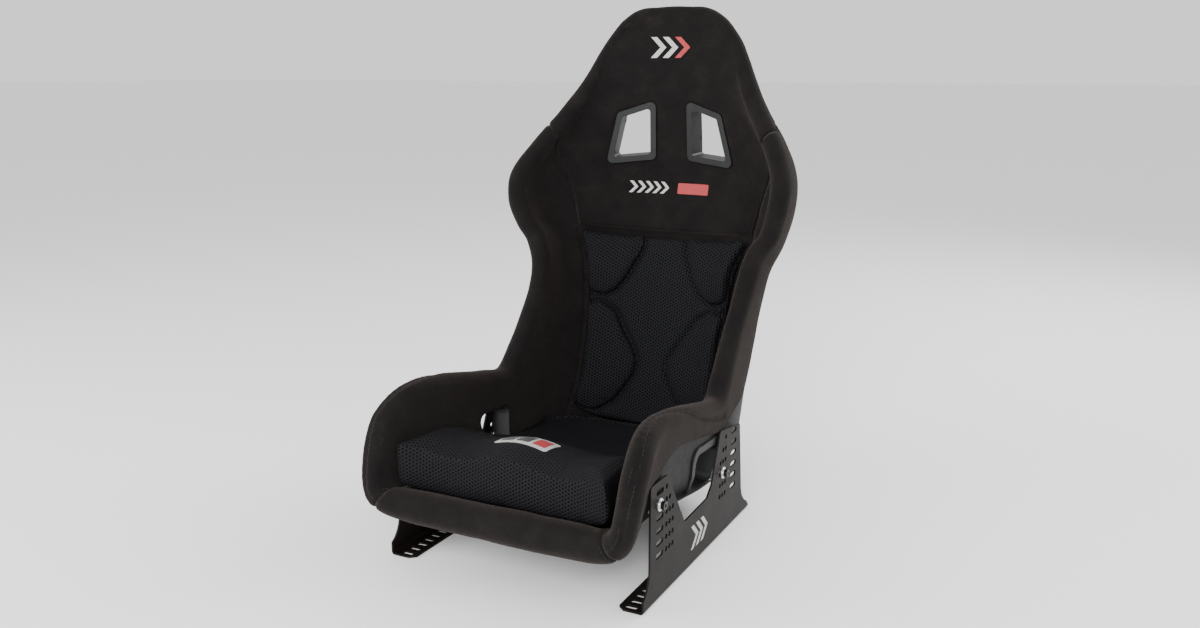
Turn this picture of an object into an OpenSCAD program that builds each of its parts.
// Fixed-back racing seat: a moulded bucket shell with bonded padding, two loose
// cushions, belt openings with bezels, and a pair of steel side brackets.
// The seat faces -Y, +X is its left-hand side as the driver sits, +Z is up.
// The origin is on the floor, in the middle of the whole seat.

/* [Shell] */
// Width of the shell across the front of the thigh walls
front_w = 442; // [425:1:446]
// Width of the shell across the hips, between the brackets
hip_w = 436; // [425:1:440]
// Width of the shell across the shoulders
shoulder_w = 516; // [480:2:540]
// Width of the shell across the head
head_w = 256; // [220:2:280]
// Wall thickness of the moulded shell
shell_t = 4; // [3:0.5:5]

/* [Padding] */
// Padding over the side walls, measured from the outside of the shell
side_pad_t = 32; // [26:1:34]
// Padding over the backrest
back_pad_t = 28; // [20:1:30]
// Thin padding over the seat pan
pan_pad_t = 14; // [10:1:18]
// Height of the roll along the front lip
lip_pad_t = 48; // [40:1:52]
// Thickness of the cover where it wraps around the outside of the shell edge
wrap_t = 4; // [3:0.5:5]
// The same thickness over the thigh walls, above the brackets
thigh_wrap_t = 8; // [4:1:9]

/* [Cushions] */
// Space between the padding and a loose cushion, filled by hook and loop strips
cushion_gap = 3.8; // [3.4:0.1:4.4]
// Thickness of the back cushion
back_cushion_t = 28; // [20:1:32]
// Height of the top of the seat cushion above the floor, at the front
seat_cushion_z = 218; // [205:1:222]
// Fall of the seat cushion's top from its front to its back
seat_cushion_fall = 76; // [60:2:80]
// Depth of the two leg channels in the seat cushion
leg_channel = 18; // [6:1:20]

/* [Harness openings] */
// Width of a bezel's flange around a belt opening
bezel_w = 11; // [8:0.5:12]
// Height of a bezel's flange above the cover
bezel_t = 5; // [4:0.5:6]
// Wall thickness of a bezel's sleeve
bezel_wall = 2.5; // [2:0.5:3]

/* [Brackets] */
// Distance between the outer faces of the two side brackets
bracket_span = 454; // [450:1:470]
// Thickness of the bracket plate
plate_t = 3; // [3:0.5:4]
// Width of the floor flange, turned inwards
flange_w = 44; // [38:1:50]
// Height of the bracket plate
plate_h = 190; // [184:1:196]
// Diameter of a seat hole, clear for M8
hole_d = 8.5; // [8.4:0.1:9]
// Height of the lowest row of seat holes above the floor
row_z = 73; // [70:1:76]
// Distance between two rows of seat holes
row_pitch = 20; // [18:0.5:20]
// Distance between two columns of seat holes
col_pitch = 12; // [11:0.5:13]
// Length of a seat slot, end to end
seat_slot_l = 26; // [20:1:28]
// Length of a floor slot, end to end
floor_slot_l = 20; // [16:1:22]
// Distance between two floor slots
floor_slot_pitch = 19; // [18:0.5:20]
// Number of floor slots at each end of a flange
floor_slots = 6; // [4:1:6]

/* [Fasteners] */
// Thread diameter of the seat bolts
bolt_d = 8; // [8:1:8]
// Diameter of a seat bolt's cap head
head_d = 13; // [12:0.5:14]
// Diameter of the flat washer
washer_d = 20; // [17:1:24]
// Diameter of the inserts bonded into the shell
boss_d = 32; // [28:1:34]

/* [Hidden] */
$fn = 48;
gap = 0.4;

// Stations along the seat, from the front lip over the pan and up to the head.
// Each row is the middle of the section [y, z], its rim [y, z], its half width,
// the squareness of its corners, and the angle at which the section ends.
STATIONS = [
    [-331,  93, -299, 230, front_w / 2 + 12,    6.0, 90],
    [-289,  90, -263, 254, front_w / 2 + 6,     5.0, 90],
    [-228,  84, -218, 262, front_w / 2 + 1,     4.4, 90],
    [-143,  72, -148, 254, front_w / 2 - 1,     4.0, 90],
    [ -43,  56,  -53, 235, hip_w / 2 + 1,       4.0, 90],
    [  57,  42,   14, 223, hip_w / 2,           4.0, 90],
    [ 142,  38,   48, 232, hip_w / 2,           3.8, 90],
    [ 212,  58,   81, 268, hip_w / 2 - 1,       3.4, 90],
    [ 255, 120,  117, 313, hip_w / 2 - 2,       3.0, 90],
    [ 283, 203,  154, 362, hip_w / 2 - 1,       2.8, 90],
    [ 308, 290,  177, 412, hip_w / 2 + 4,       2.7, 90],
    [ 328, 375,  181, 452, hip_w / 2 + 15,      2.7, 90],
    [ 343, 455,  182, 486, shoulder_w / 2 - 2,  2.7, 90],
    [ 350, 530,  178, 535, shoulder_w / 2 + 14, 2.7, 90],
    [ 351, 600,  194, 585, shoulder_w / 2 + 14, 2.6, 88],
    [ 348, 660,  231, 637, shoulder_w / 2 - 11, 2.5, 84],
    [ 343, 720,  269, 698, head_w / 2 + 77,     2.4, 76],
    [ 339, 775,  305, 758, head_w / 2 + 36,     2.4, 67],
    [ 337, 826,  325, 812, head_w / 2 + 3,      2.4, 60],
    [ 337, 861,  331, 848, head_w / 2 - 24,     2.4, 56],
    [ 338, 877,  334, 867, head_w / 2 - 46,     2.4, 56],
];
LAST = len(STATIONS) - 1;
STEPS = 2;
ROWS = LAST * STEPS;
HALF_COLS = 12;
COLS = 2 * HALF_COLS;
front_bow = 14;

// A smooth value through four neighbouring stations
function spline(a, b, c, d, f) =
    (2 * b + (c - a) * f + (2 * a - 5 * b + 4 * c - d) * f * f + (3 * b - a - 3 * c + d) * f * f * f) / 2;
function station(s) =
    let (i = min(max(floor(s), 0), LAST - 1), f = s - i)
    spline(STATIONS[max(i - 1, 0)], STATIONS[i], STATIONS[i + 1], STATIONS[min(i + 2, LAST)], f);
function ramp(x, a, b) = let (f = min(max((x - a) / (b - a), 0), 1)) f * f * (3 - 2 * f);
function mix(a, b, f) = a + (b - a) * f;
function unit(v) = v / norm(v);

// A section is a rounded box: a superellipse walked by its angle
function reach(a, n) = pow(pow(abs(cos(a)), n) + pow(abs(sin(a)), n), -1 / n);
function wall_point(s, t) =
    let (q = station(s), a = abs(t) * q[6], r = reach(a, q[5]), m = reach(q[6], q[5]),
         x = q[4] * r * sin(a) / (m * sin(q[6])),
         k = (1 - r * cos(a)) / (1 - m * cos(q[6])),
         bow = front_bow * (1 - ramp(s, 0, 3)) * sin(180 * k))
    [sign(t) * x, mix(q[0], q[2], k) - bow, mix(q[1], q[3], k)];

GRID = [for (i = [0:ROWS]) [for (j = [0:COLS]) wall_point(i / STEPS, (j - HALF_COLS) / HALF_COLS)]];
function along(i, j) = unit(GRID[min(i + 1, ROWS)][j] - GRID[max(i - 1, 0)][j]);
function across(i, j) = unit(GRID[i][min(j + 1, COLS)] - GRID[i][max(j - 1, 0)]);
NORMALS = [for (i = [0:ROWS]) [for (j = [0:COLS]) unit(cross(across(i, j), along(i, j)))]];

// Thickness of the padding at row i, column j, over the shell's outside
seam_col = 6;
shoulder_extra = 10;
function pad_t(i, j) =
    let (s = i / STEPS, c = abs(j - HALF_COLS),
         shoulder = shoulder_extra * ramp(s, 10, 12.5) * (1 - ramp(s, 15, 17)) * ramp(c, 1, 5),
         middle = mix(mix(lip_pad_t, pan_pad_t, ramp(s, 0.2, 1.4)), back_pad_t + shoulder, ramp(s, 7, 9)))
    mix(middle, side_pad_t, ramp(c, seam_col - 2, seam_col + 2)) - 6 * ramp(s, 16, 18);
// Thickness of the cover outside the shell: it bulges over the thigh walls
function wrap_at(i) = mix(thigh_wrap_t, wrap_t, ramp(i / STEPS, 3, 8));
// How many columns the cover reaches down the outside of the wall: it stays
// clear of the lap belt opening
function wrap_cols(i) =
    let (s = i / STEPS)
    2.7 - 1.2 * ramp(s, 1.5, 3) * (1 - ramp(s, 6, 8));
function between(row, c) = let (k = min(floor(c), COLS - 1)) mix(row[k], row[k + 1], c - k);
function off(i, j, d) = GRID[i][j] + NORMALS[i][j] * d;

// A solid from a list of closed loops. Each loop runs out along one face and
// back along the other, so point k stands opposite point n - 1 - k.
module skin(loops) {
    n = len(loops[0]);
    last = len(loops) - 1;
    points = [for (loop = loops) each loop];
    sides = [for (i = [0:last - 1]) for (k = [0:n - 1])
        let (a = i * n + k, b = i * n + (k + 1) % n)
        each [[a, b, b + n], [a, b + n, a + n]]];
    start = [for (k = [0:n / 2 - 2]) each [[k + 1, k, n - 2 - k], [k, n - 1 - k, n - 2 - k]]];
    end = [for (t = start) [t[1], t[0], t[2]] + last * n * [1, 1, 1]];
    polyhedron(points, concat(sides, start, end), convexity = 8);
}

// A layer that follows the shell over rows i0 to i1 and columns j0 to j1
module layer(i0, i1, j0, j1, low, high) {
    skin([for (i = [i0:i1]) concat(
        [for (j = [j0:j1]) off(i, j, low(i, j))],
        [for (j = [j1:-1:j0]) off(i, j, high(i, j))])]);
}

// The loop around a padded edge: inside face, round tip and outside wrap, then
// back along the shell, which it clears by a small gap. The wrap w is a list of
// [point, normal, thickness] from the edge down.
tip_steps = 6;
function padded_edge(p, n, out, t, w) =
    let (e = len(p) - 1, r = (t[e] + w[0][2]) / 2, mid = p[e] + n[e] * (t[e] - w[0][2]) / 2,
         rim = p[e] + out * gap)
    concat(
        [for (k = [0:e]) p[k] + n[k] * t[k]],
        [for (k = [1:tip_steps - 1])
            let (a = 180 * k / tip_steps) mid + r * (n[e] * cos(a) + out * sin(a))],
        [for (q = w) q[0] - q[1] * q[2]],
        [for (k = [len(w) - 1:-1:0]) w[k][0] - w[k][1] * 2 * gap],
        [for (k = [1:tip_steps - 1]) rim + n[e] * mix(-gap, shell_t + gap, k / tip_steps)],
        [for (k = [e:-1:0]) p[k] + n[k] * (shell_t + gap)]);
// The cover's edge along the left-hand rim
function rim_out(i) = unit(cross(along(i, COLS), NORMALS[i][COLS]));
module side_edge(i0, i1, j0) {
    skin([for (i = [i0:i1]) padded_edge(
        [for (j = [j0:COLS]) GRID[i][j]], [for (j = [j0:COLS]) NORMALS[i][j]],
        rim_out(i), [for (j = [j0:COLS]) pad_t(i, j)],
        [for (k = [0:3]) let (c = COLS - wrap_cols(i) * k / 3)
            [between(GRID[i], c), between(NORMALS[i], c), mix(wrap_at(i), wrap_t, k / 3)]])]);
}
// The cover's edge along the front (i0 > 0) or the top of the head (i0 < ROWS)
module end_edge(i0, i1, j0, j1) {
    step = i1 > i0 ? 1 : -1;
    loops = [for (j = [j0:j1]) padded_edge(
        [for (i = [i0:step:i1]) GRID[i][j]], [for (i = [i0:step:i1]) NORMALS[i][j]],
        unit(step * along(i1, j) + corner_out(i1, j)), [for (i = [i0:step:i1]) pad_t(i, j)],
        [for (k = [0:1]) let (i = i1 - step * k)
            [GRID[i][j], NORMALS[i][j], mix(end_wrap(j, i1), wrap_t, k)]])];
    skin(step > 0 ? loops : [for (k = [len(loops) - 1:-1:0]) loops[k]]);
}
function corner_out(i, j) =
    let (corner = rim_out(i))
    j == COLS ? corner : j == 0 ? [-corner[0], corner[1], corner[2]] : [0, 0, 0];
function end_wrap(j, i) = mix(wrap_t, wrap_at(i), ramp(abs(j - HALF_COLS), 8, 12));

// Outline with round corners: each point is cut back by r and bridged by an arc
function corner(a, b, c, r) =
    let (u = unit(a - b), v = unit(c - b), half = acos(u * v) / 2, m = b + unit(u + v) * r / sin(half),
         p = b + u * r / tan(half), q = b + v * r / tan(half), n = 5)
    [for (k = [0:n]) m + r * unit(mix(p, q, k / n) - m)];
function ring(pts, i) = pts[(i + len(pts)) % len(pts)];
function rounded(pts, r) =
    [for (i = [0:len(pts) - 1]) each corner(ring(pts, i - 1), pts[i], ring(pts, i + 1), r)];
function rounded_path(pts, r) =
    [pts[0],
     for (i = [1:len(pts) - 2])
         each corner(pts[i - 1], pts[i], pts[i + 1], min(r, norm(pts[i] - pts[i - 1]) / 4)),
     pts[len(pts) - 1]];
function inset(pts, d) =
    [for (i = [0:len(pts) - 1])
        let (u = unit(ring(pts, i - 1) - pts[i]), v = unit(ring(pts, i + 1) - pts[i]))
        pts[i] + unit(u + v) * d / sin(acos(u * v) / 2)];

// Harness opening, seen from the front: outer edge of the bezel. The bezel is
// turned with the curve of the backrest, about its upright inner edge.
HARNESS = [[31, 606], [131, 595], [106, 694], [31, 718]];
harness_y = 312.5;
harness_turn = -11;
harness_lean = 4;
// Lap belt opening, seen from the side: outer edge of the bezel, which leans in
// with the side wall, about its top edge
LAP = [[-77, 100], [13, 92], [33, 180], [-93, 188]];
lap_x = hip_w / 2 + 1;
lap_lean = 12;
// Crotch strap slot in the pan, seen from above
CROTCH = [[-42, -105], [42, -105], [42, -77], [-42, -77]];

// Prisms through an opening: d is the inset from the bezel's outer edge, and the
// ends are measured from the bezel's front face
module harness_prism(d, r, y0, y1) {
    translate([HARNESS[0][0], harness_y, HARNESS[3][1]]) rotate([harness_lean, 0, harness_turn])
        translate([-HARNESS[0][0], y1, -HARNESS[3][1]]) rotate([90, 0, 0]) linear_extrude(y1 - y0)
            polygon(rounded(inset(HARNESS, d), r));
}
module lap_prism(d, r, x0, x1) {
    translate([lap_x, 0, LAP[3][1]]) rotate([0, lap_lean, 0])
        translate([x0, 0, -LAP[3][1]]) rotate([90, 0, 90]) linear_extrude(x1 - x0)
            polygon(rounded(inset(LAP, d), r));
}
module crotch_prism(d, r, z0, z1) {
    translate([0, 0, z0]) linear_extrude(z1 - z0) polygon(rounded(inset(CROTCH, d), r));
}
module both() {
    children();
    mirror([1, 0, 0]) children();
}

// Seat bolts: [y, z] of the front and the rear one
BOLTS = [[-233, row_z + 4 * row_pitch], [29, row_z + 2 * row_pitch]];
plate_x = bracket_span / 2 - plate_t;
boss_x = plate_x - 9;
boss_l = 24;
module at_bolts(x) {
    both() for (b = BOLTS) translate([x, b[0], b[1]]) rotate([0, 90, 0]) children();
}

module shell() color("#1c1c1f") difference() {
    layer(0, ROWS, 0, COLS, function (i, j) 0, function (i, j) shell_t);
    both() harness_prism(bezel_w - bezel_wall - gap, 6, -60, 90);
    both() lap_prism(bezel_w - bezel_wall - gap, 16, -70, 30);
    crotch_prism(6, 6, 0, 120);
    at_bolts(boss_x - boss_l - 1) cylinder(d = boss_d + 2 * gap, h = 60);
}

lip_row = 3;
side_from = 1;
neck_row = 34;
module lip_pad() color("#232022") end_edge(lip_row, 0, HALF_COLS - seam_col, HALF_COLS + seam_col);
module thigh_pad() end_edge(side_from, 0, HALF_COLS + seam_col, COLS);
module left_thigh_pad() color("#232022") thigh_pad();
module right_thigh_pad() color("#232022") mirror([1, 0, 0]) thigh_pad();
module side_pad() difference() {
    side_edge(side_from, top_row, HALF_COLS + seam_col);
    lap_prism(bezel_w - bezel_wall - gap, 16, -70, 30);
    at_bolts(boss_x - boss_l - 1) cylinder(d = boss_d + 2 * gap, h = 60);
}
module left_side_pad() color("#232022") side_pad();
module right_side_pad() color("#232022") mirror([1, 0, 0]) side_pad();
bite_row = 15;
module pan_pad() color("#232022") difference() {
    layer(lip_row, bite_row, HALF_COLS - seam_col, HALF_COLS + seam_col,
        function (i, j) shell_t + gap, function (i, j) pad_t(i, j));
    crotch_prism(-gap, 6, 0, 120);
}
module back_pad() color("#262325") difference() {
    layer(bite_row, neck_row, HALF_COLS - seam_col, HALF_COLS + seam_col,
        function (i, j) shell_t + gap, function (i, j) pad_t(i, j));
    both() harness_prism(bezel_w - bezel_wall - gap, 6, -60, 90);
    both() harness_prism(-gap, 10, -60, bezel_t + gap);
}
top_row = ROWS - 1;
module head_pad() color("#262325") {
    layer(neck_row, top_row, HALF_COLS - seam_col, HALF_COLS + seam_col,
        function (i, j) shell_t + gap, function (i, j) pad_t(i, j));
    end_edge(top_row, ROWS, 0, COLS);
}

// Loose cushions. The seat cushion fills the pan between the side walls.
cushion_rows = [1, 13];
cushion_j0 = HALF_COLS - 8;
cushion_j1 = HALF_COLS + 8;
cushion_min_t = 6;
leg_channel_w = 190;
function cushion_top(p) =
    let (f = ramp(p[1], -250, -20))
    seat_cushion_z - seat_cushion_fall * f
    - leg_channel * (1 - f) * (0.5 - 0.5 * cos(360 * min(abs(p[0]) / leg_channel_w, 1)));
module seat_cushion() color("#1e2024") skin([for (i = [cushion_rows[0]:cushion_rows[1]]) concat(
    [for (j = [cushion_j0:cushion_j1]) off(i, j, pad_t(i, j) + cushion_gap)],
    [for (j = [cushion_j1:-1:cushion_j0])
        let (p = off(i, j, pad_t(i, j) + cushion_gap + cushion_min_t))
        [p[0], p[1], max(p[2], cushion_top(p))]])]);
back_rows = [15, 24];
back_cols = 6;
module back_cushion() color("#20232a") layer(
    back_rows[0], back_rows[1], HALF_COLS - back_cols, HALF_COLS + back_cols,
    function (i, j) pad_t(i, j) + cushion_gap,
    function (i, j) pad_t(i, j) + cushion_gap + back_cushion_t);

strip_t = 0.9;
strip_gap = 0.5;
module strips(spans, low) {
    for (s = spans) layer(s[0], s[1], HALF_COLS + s[2], HALF_COLS + s[3],
        function (i, j) pad_t(i, j) + low, function (i, j) pad_t(i, j) + low + strip_t);
}
SEAT_STRIPS = [[5, 9, -4, -3], [5, 9, 3, 4]];
BACK_STRIPS = [[17, 23, -4, -3], [17, 23, 3, 4]];
module seat_hook_strips() color("#101010") strips(SEAT_STRIPS, strip_gap);
module seat_loop_strips() color("#181818") strips(SEAT_STRIPS, cushion_gap - strip_t - strip_gap);
module back_hook_strips() color("#101010") strips(BACK_STRIPS, strip_gap);
module back_loop_strips() color("#181818") strips(BACK_STRIPS, cushion_gap - strip_t - strip_gap);

// Bezels: a flange on the face, and a sleeve that lines the opening. The sleeve
// ends level with the rear bezel, which follows the back of the shell.
rear_bezel_t = 3;
module harness_zone(low, high) {
    layer(26, 34, HALF_COLS, HALF_COLS + 9, function (i, j) low, function (i, j) high);
}
module harness_front() difference() {
    union() {
        harness_prism(0, 10, 0, bezel_t);
        intersection() {
            harness_prism(bezel_w - bezel_wall, 6, 0, 60);
            harness_zone(-rear_bezel_t - gap, 50);
        }
    }
    harness_prism(bezel_w, 5, -10, 70);
}
module harness_rear() difference() {
    intersection() {
        harness_prism(0, 10, 20, 60);
        harness_zone(-rear_bezel_t - gap, -gap);
    }
    harness_prism(bezel_w - bezel_wall - gap, 6, 0, 70);
}
module left_harness_bezel() color("#3a3c3e") harness_front();
module right_harness_bezel() color("#3a3c3e") mirror([1, 0, 0]) harness_front();
module left_harness_rear_bezel() color("#3a3c3e") harness_rear();
module right_harness_rear_bezel() color("#3a3c3e") mirror([1, 0, 0]) harness_rear();
lap_flange_t = 3;
module lap_zone(inside) {
    layer(5, 12, HALF_COLS + 4, COLS,
        function (i, j) -lap_flange_t - gap, function (i, j) inside ? pad_t(i, j) : -gap);
}
module lap_bezel() difference() {
    union() {
        intersection() {
            lap_prism(0, 22, -60, 30);
            lap_zone(false);
        }
        intersection() {
            lap_prism(bezel_w - bezel_wall, 16, -70, 30);
            lap_zone(true);
        }
    }
    lap_prism(bezel_w, 14, -80, 40);
    at_bolts(boss_x - boss_l - 1) cylinder(d = boss_d + 2 * gap, h = 60);
}
module left_lap_bezel() color("#3a3c3e") lap_bezel();
module right_lap_bezel() color("#3a3c3e") mirror([1, 0, 0]) lap_bezel();

// Side bracket: the plate in the plane of Y and Z, with a flange turned inwards
bracket_front = -287;
bracket_rear = 171;
PLATE = rounded_path(concat(
    [[bracket_front, 0]],
    arc(bracket_front - 24, 60, 46, -60, 0),
    [[-265, plate_h], [-205, plate_h], [-135, 88], [-41, 92], [-21, 108], [15, plate_h],
     [109, plate_h - 14]],
    arc(bracket_rear, 62, 48, 180, 250),
    [[bracket_rear, 0]]), 4);
module slot(l, d, h) {
    for (k = [-1, 1]) translate([k * (l - d) / 2, 0, 0]) cylinder(d = d, h = h);
    translate([-(l - d) / 2, -d / 2, 0]) cube([l - d, d, h]);
}
SLOT_COLS = [-232, 79];
HOLE_COLS = [for (k = [0:2]) [-208 + k * col_pitch, 6 - k], for (k = [0:2]) [17 + k * col_pitch, 4 + k]];
bend_r = 6;
floor_slot_x = 25;
floor_slot_edge = 12;
function arc(x, y, r, a0, a1) =
    [for (k = [0:6]) let (a = mix(a0, a1, k / 6)) [x + r * cos(a), y + r * sin(a)]];
// The section of a bracket, seen from the front, and its plan, seen from above
flange_x = bracket_span / 2 - flange_w;
flange_cut = 12;
ANGLE = concat(
    [[bracket_span / 2, plate_h]], arc(bracket_span / 2 - bend_r, bend_r, bend_r, 0, -90),
    [[flange_x, 0], [flange_x, plate_t]],
    arc(bracket_span / 2 - bend_r, bend_r, bend_r - plate_t, -90, 0), [[plate_x, plate_h]]);
PLAN = rounded_path([
    [bracket_span / 2, bracket_front - 1], [flange_x + flange_cut, bracket_front - 1],
    [flange_x, bracket_front + flange_cut - 3], [flange_x, bracket_rear - flange_cut + 3],
    [flange_x + flange_cut, bracket_rear + 1], [bracket_span / 2, bracket_rear + 1]], 5);
module bracket() difference() {
    intersection() {
        translate([0, bracket_rear, 0]) rotate([90, 0, 0])
            linear_extrude(bracket_rear - bracket_front) polygon(ANGLE);
        translate([100, 0, 0]) rotate([90, 0, 90]) linear_extrude(200) polygon(PLATE);
        translate([0, 0, -1]) linear_extrude(plate_h + 2) polygon(PLAN);
    }
    for (y = SLOT_COLS) for (k = [0:5])
        translate([plate_x - 1, y, row_z + k * row_pitch]) rotate([90, 0, 90])
            slot(seat_slot_l, hole_d, plate_t + 2);
    for (c = HOLE_COLS) for (k = [0:c[1] - 1])
        translate([plate_x - 1, c[0], row_z + k * row_pitch]) rotate([0, 90, 0])
            cylinder(d = hole_d, h = plate_t + 2);
    for (k = [0:floor_slots - 1]) let (d = floor_slot_edge + k * floor_slot_pitch)
        for (y = [bracket_front + d, bracket_rear - d])
            translate([bracket_span / 2 - floor_slot_x, y, -1]) slot(floor_slot_l, hole_d, plate_t + 2);
}
module left_bracket() color("#4b423e") bracket();
module right_bracket() color("#4b423e") mirror([1, 0, 0]) bracket();

// Fasteners, stacked outwards from the insert in the shell
module insert_bosses() color("#b9bcc0") at_bolts(boss_x - boss_l) difference() {
    cylinder(d = boss_d, h = boss_l);
    translate([0, 0, 2]) cylinder(d = bolt_d, h = boss_l);
}
module spacers() color("#9a9da1") at_bolts(boss_x) difference() {
    cylinder(d = 18, h = plate_x - boss_x);
    translate([0, 0, -1]) cylinder(d = bolt_d, h = 20);
}
washer_t = 1.6;
spring_t = 2;
module flat_washers() color("#c4c6c8") at_bolts(bracket_span / 2) difference() {
    cylinder(d = washer_d, h = washer_t);
    translate([0, 0, -1]) cylinder(d = bolt_d, h = 4);
}
module spring_washers() color("#c4c6c8") at_bolts(bracket_span / 2 + washer_t) difference() {
    cylinder(d = 13.6, h = spring_t);
    translate([0, 0, -1]) cylinder(d = bolt_d, h = 4);
}
bolt_tip_x = boss_x - boss_l + 6;
bolt_head_x = bracket_span / 2 + washer_t + spring_t;
head_h = 6;
socket_h = 3.6;
module seat_bolts() color("#d0d2d4") at_bolts(0) difference() {
    union() {
        translate([0, 0, bolt_tip_x]) cylinder(d = bolt_d, h = bolt_head_x - bolt_tip_x + 1);
        translate([0, 0, bolt_head_x]) cylinder(d = head_d, h = head_h);
    }
    translate([0, 0, bolt_head_x + head_h - socket_h]) cylinder(d = 6.4, h = socket_h + 1, $fn = 6);
}

shell();
lip_pad();
left_thigh_pad();
right_thigh_pad();
left_side_pad();
right_side_pad();
pan_pad();
back_pad();
head_pad();
seat_cushion();
back_cushion();
seat_hook_strips();
seat_loop_strips();
back_hook_strips();
back_loop_strips();
left_harness_bezel();
right_harness_bezel();
left_harness_rear_bezel();
right_harness_rear_bezel();
left_lap_bezel();
right_lap_bezel();
left_bracket();
right_bracket();
insert_bosses();
spacers();
flat_washers();
spring_washers();
seat_bolts();
